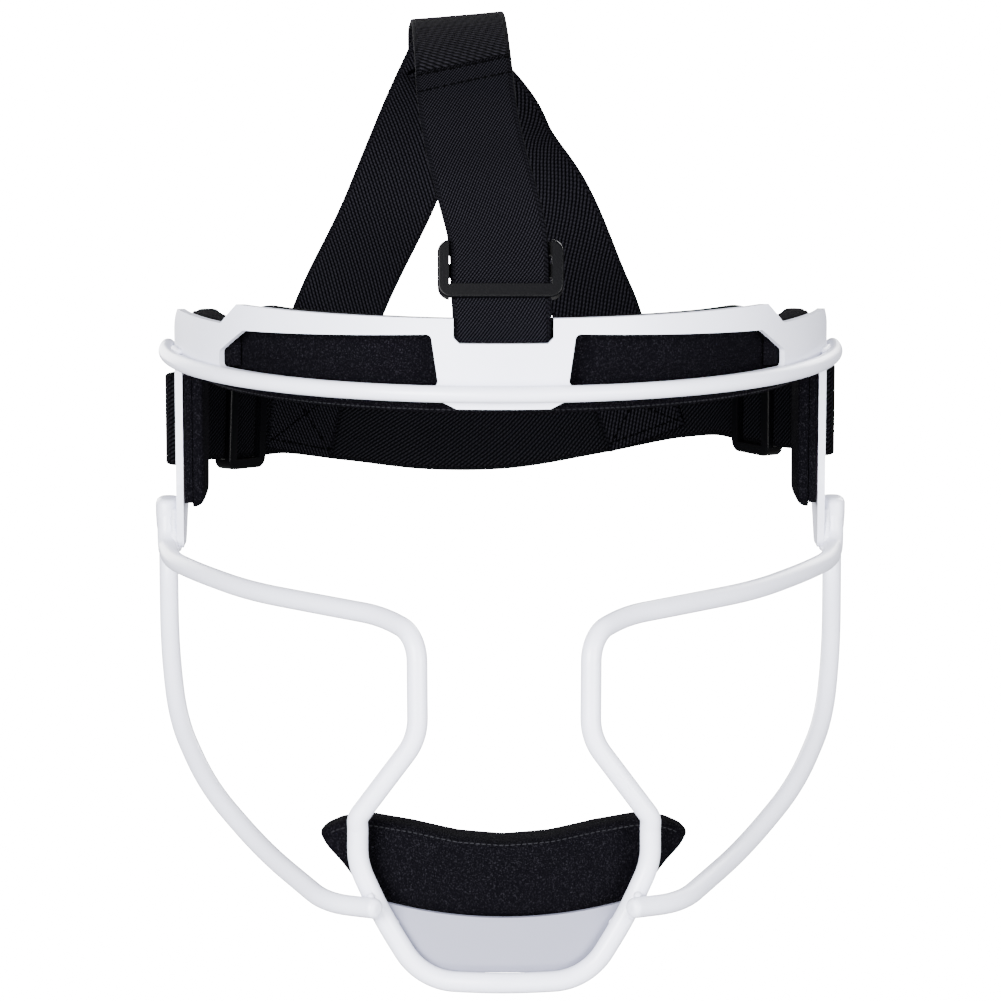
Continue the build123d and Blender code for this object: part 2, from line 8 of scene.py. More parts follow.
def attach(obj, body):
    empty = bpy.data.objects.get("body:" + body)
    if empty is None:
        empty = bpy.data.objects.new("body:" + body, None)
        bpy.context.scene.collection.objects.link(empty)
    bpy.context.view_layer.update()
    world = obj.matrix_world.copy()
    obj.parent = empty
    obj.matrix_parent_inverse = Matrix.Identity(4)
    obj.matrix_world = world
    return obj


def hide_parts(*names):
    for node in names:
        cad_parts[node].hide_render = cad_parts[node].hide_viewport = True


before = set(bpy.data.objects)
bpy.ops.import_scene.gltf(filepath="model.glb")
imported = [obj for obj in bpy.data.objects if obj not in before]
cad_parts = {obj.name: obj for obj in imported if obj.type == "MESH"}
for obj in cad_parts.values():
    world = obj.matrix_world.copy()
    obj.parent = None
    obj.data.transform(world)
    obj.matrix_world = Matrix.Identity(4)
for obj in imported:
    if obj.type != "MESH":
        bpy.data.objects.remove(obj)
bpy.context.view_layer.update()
mm = 0.001
print("frame loaded")


# Camera, at the height and distance that the photograph was taken from
cameraSettings = {
    "elevation": 9.0,  # degrees above the horizontal
    "azimuth": 0.45,  # degrees to the picture's left of straight ahead
    "distance": 1.169,
    "rise": -0.0436,  # of the line of sight above the brow ring's middle
    "focalPixels": 4120.0,
    "pictureWidth": 1001.0,
    "sensor": 36.0,
    "clipStart": 0.05,
}


def addCamera(settings):
    tilt = math.radians(settings["elevation"])
    turn = math.radians(settings["azimuth"])
    ahead = Vector((math.sin(turn) * math.cos(tilt), math.cos(turn) * math.cos(tilt), -math.sin(tilt)))
    upward = Vector((math.sin(turn) * math.sin(tilt), math.cos(turn) * math.sin(tilt), math.cos(tilt)))
    data = bpy.data.cameras.new("photoCamera")
    data.sensor_width = settings["sensor"]
    data.lens = settings["focalPixels"] / settings["pictureWidth"] * settings["sensor"]
    data.clip_start = settings["clipStart"]
    camera = bpy.data.objects.new("photoCamera", data)
    camera.location = upward * settings["rise"] - ahead * settings["distance"]
    camera.rotation_euler = (math.radians(90) - tilt, 0, -turn)
    bpy.context.scene.collection.objects.link(camera)
    bpy.context.scene.camera = camera


addCamera(cameraSettings)


# Studio: a pale sweep well below the mask, a bright surround and soft lamps
studioSettings = {
    "floorHeight": -0.42,
    "flatRings": (0.001, 0.6, 1.2),  # radii of the rings on the flat floor
    "radius": 2.6,
    "wall": 3.4,
    "curve": 0.9,
    "curveSteps": 12,
    "sides": 64,
    "floorColour": (0.1, 0.1, 0.1),  # dark, because its own glow makes it pale
    "floorRoughness": 0.9,
    "seenGlow": 19.0,  # brightness of the sweep where the camera looks straight at it
    "castGlow": 0.14,  # light that it throws on the mask
    "surround": 0.14,
    "aim": (0.0, 0.0, -0.03),
    "lamps": {
        "keyLamp": {"place": (-0.45, -0.95, 0.2), "size": 0.5, "watts": 45.0},
        "fillLamp": {"place": (0.6, -0.9, 0.1), "size": 0.5, "watts": 25.0},
        "lowLamp": {"place": (0.0, -0.8, -0.5), "size": 0.6, "watts": 16.5},
        "topLamp": {"place": (0.0, 0.1, 1.0), "size": 0.7, "watts": 4.0},
        "rimLamp": {"place": (0.55, 0.9, 0.5), "size": 0.6, "watts": 20.0},
        "backLamp": {"place": (-0.55, 0.95, 0.2), "size": 0.6, "watts": 15.0},
    },
}


def addStudio(settings):
    radius, curve, steps = settings["radius"], settings["curve"], settings["curveSteps"]
    profile = [(reach, 0.0) for reach in settings["flatRings"]]
    for step in range(steps + 1):
        turn = math.radians(90 * step / steps)
        profile.append((radius - curve + curve * math.sin(turn), curve * (1 - math.cos(turn))))
    profile.append((radius, settings["wall"]))
    points, faces = [], []
    sides, count = settings["sides"], len(profile)
    for side in range(sides):
        swing = 2 * math.pi * side / sides
        for reach, rise in profile:
            points.append((reach * math.cos(swing), reach * math.sin(swing), settings["floorHeight"] + rise))
        after = (side + 1) % sides
        for i in range(count - 1):
            faces.append((side * count + i, after * count + i, after * count + i + 1, side * count + i + 1))
    mesh = bpy.data.meshes.new("paleSweep")
    mesh.from_pydata(points, [], faces)
    mesh.polygons.foreach_set("use_smooth", [True] * len(mesh.polygons))
    sweep = bpy.data.objects.new("paleSweep", mesh)
    bpy.context.scene.collection.objects.link(sweep)
    paper = bpy.data.materials.new("palePaper")
    paper.use_nodes = True
    shader = paper.node_tree.nodes["Principled BSDF"]
    shader.inputs["Base Color"].default_value = (*settings["floorColour"], 1)
    shader.inputs["Roughness"].default_value = settings["floorRoughness"]
    shader.inputs["Emission Color"].default_value = (1, 1, 1, 1)
    rays = paper.node_tree.nodes.new("ShaderNodeLightPath")
    glow = paper.node_tree.nodes.new("ShaderNodeMath")
    glow.operation = "MULTIPLY_ADD"
    glow.inputs[1].default_value = settings["seenGlow"]
    glow.inputs[2].default_value = settings["castGlow"]
    paper.node_tree.links.new(rays.outputs["Is Camera Ray"], glow.inputs[0])
    paper.node_tree.links.new(glow.outputs[0], shader.inputs["Emission Strength"])
    paper.cycles.emission_sampling = "NONE"  # its even glow needs no aimed rays
    mesh.materials.append(paper)
    world = bpy.data.worlds.new("studioSurround")
    world.use_nodes = True
    world.node_tree.nodes["Background"].inputs["Color"].default_value = (1, 1, 1, 1)
    world.node_tree.nodes["Background"].inputs["Strength"].default_value = settings["surround"]
    bpy.context.scene.world = world
    for name, lamp in settings["lamps"].items():
        data = bpy.data.lights.new(name, "AREA")
        data.size = lamp["size"]
        data.energy = lamp["watts"]
        light = bpy.data.objects.new(name, data)
        light.location = lamp["place"]
        heading = Vector(settings["aim"]) - Vector(lamp["place"])
        light.rotation_euler = heading.to_track_quat("-Z", "Y").to_euler()
        bpy.context.scene.collection.objects.link(light)


addStudio(studioSettings)
print("camera and studio set")


# Shader node groups for the webbing's ribs, the pads' knit and the skin of coats, plastic and thread
def nodeAt(tree, kind, inputs=None, **values):
    node = tree.nodes.new(kind)
    for key, value in values.items():
        setattr(node, key, value)
    for key, value in (inputs or {}).items():
        if isinstance(value, bpy.types.NodeSocket):
            tree.links.new(value, node.inputs[key])
        else:
            node.inputs[key].default_value = value
    return node


def effectGroup(name, inputs, outputs):
    group = bpy.data.node_groups.new(name, "ShaderNodeTree")
    for label, kind, value in inputs:
        socket = group.interface.new_socket(label, in_out="INPUT", socket_type=kind)
        if value is not None:
            socket.default_value = value
    for label, kind in outputs:
        group.interface.new_socket(label, in_out="OUTPUT", socket_type=kind)
    return group, group.nodes.new("NodeGroupInput"), group.nodes.new("NodeGroupOutput")


def maths(tree, operation, first, second=0.0):
    node = nodeAt(tree, "ShaderNodeMath", {0: first, 1: second}, operation=operation)
    return node.outputs[0]


twillSettings = {
    "wander": 0.25,  # how far the ribs stray, as a share of their pitch
    "wanderScale": 260.0,
    "crossLean": 0.35,  # of the threads that cross a rib, as a share of its own lean
    "crossCount": 2.1,
    "crossShift": 2.4,  # from one rib to the next, in radians
    "crossHeight": 0.3,
    "crossShade": 0.55,
    "ribSharpness": 2.4,
    "grainScale": 5200.0,
    "grainShade": 0.35,
    "width": 0.0258,
    "bandStart": 0.448,  # of the plain woven band along both edges, as a share of the width
    "bandFull": 0.462,
    "bandShade": 0.55,
}


def twillGroup(settings):
    # Diagonal ribs of woven elastic, on the strap's own map in metres; the Shade output lightens the rib and thread
    # tops and darkens the grooves in the colour, painted sheen and painted shade over the bump, with grain noise for
    # the yarn's uneven tone
    group, given, result = effectGroup(
        "twillRibs",
        [
            ("Across", "NodeSocketFloat", None),
            ("Along", "NodeSocketFloat", None),
            ("Pitch", "NodeSocketFloat", None),
            ("Lean", "NodeSocketFloat", None),
            ("Wander", "NodeSocketFloat", settings["wander"]),
            ("Width", "NodeSocketFloat", settings["width"]),
        ],
        [("Height", "NodeSocketFloat"), ("Shade", "NodeSocketFloat")],
    )
    across, along, pitch, lean, wander, width = (given.outputs[i] for i in range(6))
    flat = nodeAt(group, "ShaderNodeCombineXYZ", {"X": across, "Y": along}).outputs[0]
    soft = nodeAt(group, "ShaderNodeTexNoise", {"Vector": flat, "Scale": settings["wanderScale"], "Detail": 2.0})
    bend = maths(group, "MULTIPLY", maths(group, "SUBTRACT", soft.outputs["Fac"], 0.5), wander)
    rise = maths(group, "ADD", across, maths(group, "MULTIPLY", along, lean))
    phase = maths(group, "ADD", maths(group, "DIVIDE", rise, pitch), bend)
    rib = maths(group, "ABSOLUTE", maths(group, "SINE", maths(group, "MULTIPLY", phase, math.pi)))
    crossLean = maths(group, "MULTIPLY", lean, settings["crossLean"])
    fall = maths(group, "SUBTRACT", along, maths(group, "MULTIPLY", across, crossLean))
    beat = maths(group, "MULTIPLY", maths(group, "DIVIDE", fall, pitch), settings["crossCount"] * math.pi)
    shift = maths(group, "MULTIPLY", maths(group, "FLOOR", phase), settings["crossShift"])
    thread = maths(group, "MULTIPLY_ADD", maths(group, "SINE", maths(group, "ADD", beat, shift)), 0.5)
    thread.node.inputs[2].default_value = 0.5
    height = maths(group, "MULTIPLY_ADD", thread, settings["crossHeight"])
    group.links.new(rib, height.node.inputs[2])
    grain = nodeAt(group, "ShaderNodeTexNoise", {"Vector": flat, "Scale": settings["grainScale"], "Detail": 1.0})
    # Painted sheen on the rib tops and painted shade in the grooves, taken into the colour
    paintedRibSheenAndShade = maths(group, "POWER", rib, settings["ribSharpness"])
    shade = maths(group, "MULTIPLY", paintedRibSheenAndShade, maths(group, "ADD", thread, settings["crossShade"]))
    shade = maths(group, "MULTIPLY", shade, maths(group, "ADD", grain.outputs["Fac"], settings["grainShade"]))
    # Plain woven band along both edges, where the map wraps
    wrapped = maths(group, "MODULO", maths(group, "ADD", across, maths(group, "MULTIPLY", width, 2.5)), width)
    fromMiddle = maths(group, "ABSOLUTE", maths(group, "SUBTRACT", wrapped, maths(group, "MULTIPLY", width, 0.5)))
    ribbed = nodeAt(
        group,
        "ShaderNodeMapRange",
        {
            "Value": maths(group, "DIVIDE", fromMiddle, width),
            "From Min": settings["bandStart"],
            "From Max": settings["bandFull"],
            "To Min": 1.0,
            "To Max": 0.0,
        },
    ).outputs[0]
    height = maths(group, "MULTIPLY", height, ribbed)
    bandShade = maths(group, "MULTIPLY", thread, settings["bandShade"])
    plain = maths(group, "MULTIPLY", maths(group, "SUBTRACT", 1.0, ribbed), bandShade)
    shade = maths(group, "ADD", maths(group, "MULTIPLY", shade, ribbed), plain)
    group.links.new(height, result.inputs["Height"])
    group.links.new(shade, result.inputs["Shade"])
    return group


knitSettings = {
    "pileShare": 1.7,  # scale of the pile and of the stray fibres, as shares of the loops'
    "strayShare": 1.15,
    "patchScale": 120.0,
    "loopHeight": 0.5,
    "patchHeight": 0.6,
    "fleckStart": 0.54,
    "fleckFull": 0.8,
}


def knitGroup(settings):
    # Brushed loop knit: fine pile with stray light fibres
    group, given, result = effectGroup(
        "brushedKnit",
        [("Place", "NodeSocketVector", None), ("Loop Scale", "NodeSocketFloat", None)],
        [("Height", "NodeSocketFloat"), ("Fleck", "NodeSocketFloat")],
    )
    place, scale = given.outputs[0], given.outputs[1]
    pileScale = maths(group, "MULTIPLY", scale, settings["pileShare"])
    strayScale = maths(group, "MULTIPLY", scale, settings["strayShare"])
    loops = nodeAt(group, "ShaderNodeTexVoronoi", {"Vector": place, "Scale": scale}).outputs["Distance"]
    pile = nodeAt(group, "ShaderNodeTexNoise", {"Vector": place, "Scale": pileScale, "Detail": 4.0})
    patch = nodeAt(group, "ShaderNodeTexNoise", {"Vector": place, "Scale": settings["patchScale"], "Detail": 2.0})
    height = maths(group, "ADD", maths(group, "MULTIPLY", loops, settings["loopHeight"]), pile.outputs["Fac"])
    height = maths(group, "ADD", height, maths(group, "MULTIPLY", patch.outputs["Fac"], settings["patchHeight"]))
    stray = nodeAt(group, "ShaderNodeTexNoise", {"Vector": place, "Scale": strayScale, "Detail": 3.0})
    fleck = nodeAt(
        group,
        "ShaderNodeMapRange",
        {"Value": stray.outputs["Fac"], "From Min": settings["fleckStart"], "From Max": settings["fleckFull"]},
    )
    group.links.new(height, result.inputs["Height"])
    group.links.new(fleck.outputs[0], result.inputs["Fleck"])
    return group


def skinGroup(toneScale):
    # Sprayed or moulded skin: fine orange peel with a slow change of tone
    group, given, result = effectGroup(
        "finishSkin",
        [("Place", "NodeSocketVector", None), ("Peel Scale", "NodeSocketFloat", None)],
        [("Height", "NodeSocketFloat"), ("Tone", "NodeSocketFloat")],
    )
    place, peelScale = given.outputs[0], given.outputs[1]
    peel = nodeAt(group, "ShaderNodeTexNoise", {"Vector": place, "Scale": peelScale, "Detail": 2.0})
    slow = nodeAt(group, "ShaderNodeTexNoise", {"Vector": place, "Scale": toneScale, "Detail": 2.0})
    group.links.new(peel.outputs["Fac"], result.inputs["Height"])
    group.links.new(slow.outputs["Fac"], result.inputs["Tone"])
    return group


twillRibs = twillGroup(twillSettings)
brushedKnit = knitGroup(knitSettings)
finishSkin = skinGroup(toneScale=35.0)


# Materials
finishSettings = {
    # steel of the cage, and a darker copy of it for the blank at the chin: painted shade, as that plate takes less
    # light than the bars
    "powderCoat": {
        "low": (0.67, 0.685, 0.8),
        "high": (0.73, 0.745, 0.86),
        "roughness": 0.34,
        "gloss": 0.5,
        "bump": 0.05,
    },
    "plateCoatPaintedShade": {
        "low": (0.17, 0.175, 0.23),
        "high": (0.19, 0.195, 0.25),
        "roughness": 0.45,
        "gloss": 0.3,
        "bump": 0.05,
    },
    # elastic, with a lighter length over the hem, and a darker copy behind the head that is painted shade, where less
    # light reaches
    "webbing": {
        "low": (0.0001, 0.0001, 0.0003),
        "high": (0.0082, 0.0079, 0.0104),
        "roughness": 0.85,
        "gloss": 0.008,
        "bump": 0.9,
    },
    "overWebbing": {
        "low": (0.0002, 0.0002, 0.0004),
        "high": (0.0125, 0.012, 0.0155),
        "roughness": 0.85,
        "gloss": 0.01,
        "bump": 0.9,
    },
    # Painted shade: the same webbing darkened for the rear strap and temple loops, which take less light
    "rearWebbing": {
        "low": (0.0004, 0.0004, 0.0006),
        "high": (0.0058, 0.0057, 0.0072),
        "roughness": 0.85,
        "gloss": 0.006,
        "bump": 0.9,
    },
    "padKnit": {
        "low": (0.0016, 0.0015, 0.0023),
        "high": (0.016, 0.0152, 0.0195),
        "roughness": 0.95,
        "gloss": 0.012,
        "bump": 0.8,
    },
    "slidePlastic": {
        "low": (0.0007, 0.0007, 0.001),
        "high": (0.0012, 0.0012, 0.0017),
        "roughness": 0.32,
        "gloss": 0.07,
        "bump": 0.05,
    },
    "thread": {
        "low": (0.0001, 0.0001, 0.0002),
        "high": (0.0008, 0.0008, 0.001),
        "roughness": 0.8,
        "gloss": 0.01,
        "bump": 0.2,
    },
    "seamThread": {
        "low": (0.004, 0.004, 0.0052),
        "high": (0.018, 0.018, 0.021),
        "roughness": 0.7,
        "gloss": 0.02,
        "bump": 0.2,
    },
}


def newFinish(name, settings):
    finish = bpy.data.materials.new(name)
    finish.use_nodes = True
    tree = finish.node_tree
    shader = tree.nodes["Principled BSDF"]
    shader.inputs["Roughness"].default_value = settings["roughness"]
    shader.inputs["Specular IOR Level"].default_value = settings["gloss"]
    return finish, tree, shader


def tint(tree, shader, mask, settings):
    # Sockets 6 and 7 of a Mix node take its two colours, and 2 gives the blend
    blend = nodeAt(tree, "ShaderNodeMix", {"Factor": mask}, data_type="RGBA")
    blend.inputs[6].default_value = (*settings["low"], 1)
    blend.inputs[7].default_value = (*settings["high"], 1)
    tree.links.new(blend.outputs[2], shader.inputs["Base Color"])


def relief(tree, shader, height, strength, distance):
    bump = nodeAt(tree, "ShaderNodeBump", {"Height": height, "Strength": strength, "Distance": distance})
    tree.links.new(bump.outputs[0], shader.inputs["Normal"])


def skinFinish(name, settings, peelScale):
    finish, tree, shader = newFinish(name, settings)
    place = nodeAt(tree, "ShaderNodeTexCoord").outputs["Object"]
    skin = nodeAt(tree, "ShaderNodeGroup", node_tree=finishSkin)
    tree.links.new(place, skin.inputs["Place"])
    skin.inputs["Peel Scale"].default_value = peelScale
    tint(tree, shader, skin.outputs["Tone"], settings)
    relief(tree, shader, skin.outputs["Height"], settings["bump"], distance=0.4 * mm)
    return finish


def webbingFinish(name, settings, pitch, lean):
    finish, tree, shader = newFinish(name, settings)
    strapMap = nodeAt(tree, "ShaderNodeUVMap", uv_map="strapMap").outputs[0]
    spread = nodeAt(tree, "ShaderNodeSeparateXYZ", {0: strapMap})
    twill = nodeAt(tree, "ShaderNodeGroup", node_tree=twillRibs)
    tree.links.new(spread.outputs["X"], twill.inputs["Across"])
    tree.links.new(spread.outputs["Y"], twill.inputs["Along"])
    twill.inputs["Pitch"].default_value = pitch
    twill.inputs["Lean"].default_value = lean
    # The colour follows the painted rib sheen and groove shade
    tint(tree, shader, twill.outputs["Shade"], settings)
    relief(tree, shader, twill.outputs["Height"], settings["bump"], distance=0.3 * mm)
    return finish


def knitFinish(name, settings, loopScale):
    finish, tree, shader = newFinish(name, settings)
    place = nodeAt(tree, "ShaderNodeTexCoord").outputs["Object"]
    knit = nodeAt(tree, "ShaderNodeGroup", node_tree=brushedKnit)
    tree.links.new(place, knit.inputs["Place"])
    knit.inputs["Loop Scale"].default_value = loopScale
    tint(tree, shader, knit.outputs["Fleck"], settings)
    relief(tree, shader, knit.outputs["Height"], settings["bump"], distance=0.6 * mm)
    return finish


powderCoat = skinFinish("powderCoat", finishSettings["powderCoat"], peelScale=900.0)
# A darker copy of the powder coat for the chin plate: painted shade, not a paint of its own
plateCoatPaintedShade = skinFinish("plateCoatPaintedShade", finishSettings["plateCoatPaintedShade"], peelScale=900.0)
slidePlastic = skinFinish("slidePlastic", finishSettings["slidePlastic"], peelScale=2200.0)
threadBlack = skinFinish("threadBlack", finishSettings["thread"], peelScale=4000.0)
threadGrey = skinFinish("threadGrey", finishSettings["seamThread"], peelScale=4000.0)
webbingFront = webbingFinish("webbingFront", finishSettings["webbing"], pitch=0.86 * mm, lean=-0.75)
webbingOver = webbingFinish("webbingOver", finishSettings["overWebbing"], pitch=2.3 * mm, lean=1.3)
webbingCrown = webbingFinish("webbingCrown", finishSettings["webbing"], pitch=1.25 * mm, lean=0.8)
webbingCounter = webbingFinish("webbingCounter", finishSettings["webbing"], pitch=1.25 * mm, lean=-0.6)
# The rear strap and temple loops take a darker copy of the webbing: painted shade
webbingRearPaintedShade = webbingFinish("webbingRearPaintedShade", finishSettings["rearWebbing"], pitch=1.25 * mm, lean=0.8)
padKnit = knitFinish("padKnit", finishSettings["padKnit"], loopScale=2300.0)
print("materials made")


# Carried-over pieces of the frame keep their shape and take the finishes; the chin plate's is the powder coat darkened
# with painted shade
nodeFinishes = {
    powderCoat: [
        "brow_ring", "forehead_plate", "temple_plate_left", "temple_plate_right", "cheek_bar_left",
        "cheek_bar_right", "jaw_bar_left", "jaw_bar_right", "chin_bow",
    ],
    plateCoatPaintedShade: ["chin_plate"],
    slidePlastic: ["top_slide", "rear_slide_left", "rear_slide_right"],
    padKnit: ["ear_tape_left", "ear_tape_right", "temple_tape_left", "temple_tape_right", "chin_tape"],
}
for finish, nodes in nodeFinishes.items():
    for node in nodes:
        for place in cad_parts[node].material_slots:
            place.material = finish
print("frame pieces finished")


# Straps
def routeBetween(stations, step):
    # Points, tangents and cross directions at even steps along a smooth line through the stations
    places = [Vector(place) * mm for place, across in stations]
    crosses = [Vector(across).normalized() for place, across in stations]
    lengths = [(b - a).length for a, b in zip(places, places[1:])]
    runs = [(b - a).normalized() for a, b in zip(places, places[1:])]
    heads = [runs[0]]
    for i in range(1, len(places) - 1):
        heads.append((runs[i - 1] * lengths[i] + runs[i] * lengths[i - 1]) / (lengths[i - 1] + lengths[i]))
    heads.append(runs[-1])
    samples = []
    for i, length in enumerate(lengths):
        count = max(2, round(length / step))
        for j in range(count + (i == len(lengths) - 1)):
            t = j / count
            near, far = (1 + 2 * t) * (1 - t) ** 2, t * t * (3 - 2 * t)
            point = places[i] * near + places[i + 1] * far
            point += heads[i] * length * t * (1 - t) ** 2 + heads[i + 1] * length * t * t * (t - 1)
            cross = crosses[i] * near + crosses[i + 1] * far
            samples.append((point, cross))
    route = []
    for i, (point, cross) in enumerate(samples):
        before = samples[max(i - 1, 0)][0]
        after = samples[min(i + 1, len(samples) - 1)][0]
        along = (after - before).normalized()
        cross = (cross - along * cross.dot(along)).normalized()
        route.append((point, cross, cross.cross(along)))
    return route


def webSection(settings):
    # Outline of the webbing cut across: flat faces with rounded edges, as (across, out) pairs
    width, thickness, spans = settings["width"], settings["thickness"], settings["spansAcross"]
    edge = thickness * settings["edgeShare"]
    section = []
    for side in (1, -1):
        for step in range(spans + 1):
            section.append((side * (edge - width / 2 + (width - 2 * edge) * step / spans), side * thickness / 2))
        for turn in (60, 30, 0, -30, -60):
            swing = math.radians(turn)
            section.append(
                (side * (width / 2 - edge + edge * math.cos(swing)), side * thickness / 2 * math.sin(swing))
            )
    return section


strapRoutes = {}  # route and reach of each strap's first ribbon, for the stitches sewn on it


def strapPiece(name, ribbons, settings):
    # One mesh of one or more lengths of webbing, each with its own stations and finish
    form = bmesh.new()
    mapLayer = form.loops.layers.uv.new("strapMap")
    finishes = []
    section = webSection(settings)
    count = len(section)
    around = [a if o >= 0 else settings["width"] - a for a, o in section]
    scaleAcross, scaleAlong = settings["rippleScale"]
    for ribbon in ribbons:
        if ribbon["finish"] not in finishes:
            finishes.append(ribbon["finish"])
        route = routeBetween(ribbon["stations"], settings["step"])
        reach = [0.0]
        for (a, _, _), (b, _, _) in zip(route, route[1:]):
            reach.append(reach[-1] + (b - a).length)
        strapRoutes.setdefault(name, (route, reach))
        seed, slant = ribbon.get("seed", 0), ribbon.get("slant", 0.0)
        rings = []
        for (point, cross, out), run in zip(route, reach):
            fade = max(0.0, 1 - (reach[-1] - run) / settings["slantRun"])
            ring = []
            for a, o in section:
                ripple = noise.noise(Vector((a * scaleAcross, run * scaleAlong, seed))) * settings["ripple"]
                place = point + cross * a + out * (o + ripple)
                place += out.cross(cross) * slant * a * fade
                ring.append(form.verts.new(place))
            rings.append(ring)
        for i in range(len(rings) - 1):
            for j in range(count):
                k = (j + 1) % count
                face = form.faces.new((rings[i][j], rings[i][k], rings[i + 1][k], rings[i + 1][j]))
                face.smooth = True
                face.material_index = finishes.index(ribbon["finish"])
                last = around[k] if k else around[j] + 1 * mm  # the map doesn't jump back where the outline closes
                spots = ((around[j], reach[i]), (last, reach[i]), (last, reach[i + 1]), (around[j], reach[i + 1]))
                for loop, spot in zip(face.loops, spots):
                    loop[mapLayer].uv = spot
        for ring, flip in ((rings[0], True), (rings[-1], False)):
            cap = form.faces.new(ring[::-1] if flip else ring)
            cap.material_index = finishes.index(ribbon["finish"])
    bmesh.ops.recalc_face_normals(form, faces=form.faces)
    mesh = bpy.data.meshes.new(name)
    form.to_mesh(mesh)
    form.free()
    for finish in finishes:
        mesh.materials.append(finish)
    piece = bpy.data.objects.new(name, mesh)
    bpy.context.scene.collection.objects.link(piece)
    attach(piece, "frame")
    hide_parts(*settings["nodes"])
    return piece


webSizes = {
    "width": 25.8 * mm,
    "thickness": 1.5 * mm,
    "edgeShare": 0.42,  # radius of the rounded edges, of the thickness
    "spansAcross": 11,
    "step": 1.3 * mm,
    "ripple": 0.12 * mm,
    "rippleScale": (90, 45),  # across and along the strap
    "slantRun": 20 * mm,  # length over which a slanted end sets in
}

# Stations along each strap, in mm: a place on its middle and the way that it lies across
topStrap = {**webSizes, "nodes": ["top_strap"], "restsOn": ["forehead_plate", "top_slide"]}
topStrapFront = [
    ((-0.45, -97.6, -4.4), (1, 0, 0)),
    ((-0.45, -97.6, 10.0), (1, 0, 0)),
    ((-0.45, -97.6, 20.9), (1, 0, 0)),
    ((-0.8, -95.95, 26.7), (1, 0, 0.02)),
    ((-1.1, -93.3, 36.0), (0.998, 0.01, 0.06)),
    ((-2.1, -91.3, 43.0), (0.995, 0.02, 0.1)),
    ((-3.9, -89.3, 49.8), (0.995, 0.02, 0.1)),
    ((-5.7, -86.3, 56.3), (0.995, 0.02, 0.1)),
    ((-7.7, -80.8, 64.2), (0.997, 0.02, 0.07)),
    ((-9.4, -74.2, 73.6), (0.998, 0.02, 0.05)),
    ((-10.4, -64.8, 83.1), (0.998, 0.02, 0.06)),
]
topStrapCrown = [
    ((-9.2, -72.6, 72.8), (0.998, 0.02, 0.05)),
    ((-10.3, -60.6, 82.6), (0.998, 0.0, 0.06)),
    ((-11.3, -38.0, 90.8), (0.996, 0.0, 0.09)),
    ((-12.1, -10.0, 93.2), (0.996, 0.0, 0.09)),
    ((-12.8, 12.0, 91.0), (0.998, 0, 0.05)),
    ((-13.46, 26.0, 87.3), (1, 0, 0)),
    ((-13.46, 37.2, 73.2), (1, 0, 0)),
]
strapPiece(
    "topStrapWebbing",
    [
        {"stations": topStrapFront, "finish": webbingFront, "slant": 0.18},
        {"stations": topStrapCrown, "finish": webbingOver, "seed": 3},
    ],
    topStrap,
)

crownStrapLeft = {**webSizes, "nodes": ["crown_strap_left"], "restsOn": ["rear_strap", "top_strap"]}
crownStrapRight = {**webSizes, "nodes": ["crown_strap_right"], "restsOn": ["rear_strap", "top_strap"]}
leftCrown = [
    ((-60.0, 51.1, -37.6), (0.75, 0.66, 0)),
    ((-56.0, 54.1, -18.0), (0.79, 0.61, 0)),
    ((-52.2, 57.0, -6.6), (0.9, 0.43, 0)),
    ((-47.1, 60.3, 5.5), (1.0, 0.02, 0)),
    ((-32.2, 50.0, 37.0), (1.0, 0.0, 0)),
    ((-22.4, 43.6, 61.5), (0.914, 0.252, -0.32)),
    ((-12.0, 25.4, 84.0), (0.914, 0.252, -0.32)),
]
rightCrown = [
    ((44.6, 60.6, -35.0), (0.911, -0.412, 0)),
    ((37.6, 63.8, -16.0), (0.911, -0.412, 0)),
    ((33.2, 65.4, -6.6), (0.93, -0.37, 0)),
    ((27.9, 66.8, 5.6), (0.99, -0.12, 0)),
    ((14.4, 56.0, 37.0), (1.0, 0.0, 0)),
    ((3.7, 48.0, 54.0), (0.96, -0.17, 0.2)),
    ((-0.5, 40.6, 62.6), (0.809, -0.364, 0.461)),
    ((-15.8, 25.6, 81.0), (0.809, -0.364, 0.461)),
]
strapPiece("crownWebbingLeft", [{"stations": leftCrown, "finish": webbingCrown, "seed": 5}], crownStrapLeft)
strapPiece("crownWebbingRight", [{"stations": rightCrown, "finish": webbingCounter, "seed": 7}], crownStrapRight)

rearStrap = {**webSizes, "nodes": ["rear_strap"], "restsOn": ["rear_slide_left", "rear_slide_right"]}
rearWebbing = [
    ((-87.96, 13.88, -21.6), (0, 0, 1)),
    ((-76.7, 31.6, -23.5), (0, 0, 1)),
    ((-67.5, 46.15, -24.6), (0, 0, 1)),
    ((-65.5, 49.3, -24.8), (0, 0, 1)),
    ((-43.8, 65.3, -29.4), (0, 0, 1)),
    ((-20.0, 71.8, -33.1), (0, 0, 1)),
    ((0.0, 74.5, -33.4), (0, 0, 1)),
    ((28.5, 69.8, -28.0), (0, 0, 1)),
    ((53.5, 58.5, -21.5), (0, 0, 1)),
    ((65.5, 49.3, -19.6), (0, 0, 1)),
    ((67.5, 46.15, -19.6), (0, 0, 1)),
    ((76.7, 31.6, -19.6), (0, 0, 1)),
    ((87.96, 13.88, -19.0), (0, 0, 1)),
]
strapPiece("rearWebbing", [{"stations": rearWebbing, "finish": webbingRearPaintedShade, "seed": 11}], rearStrap)

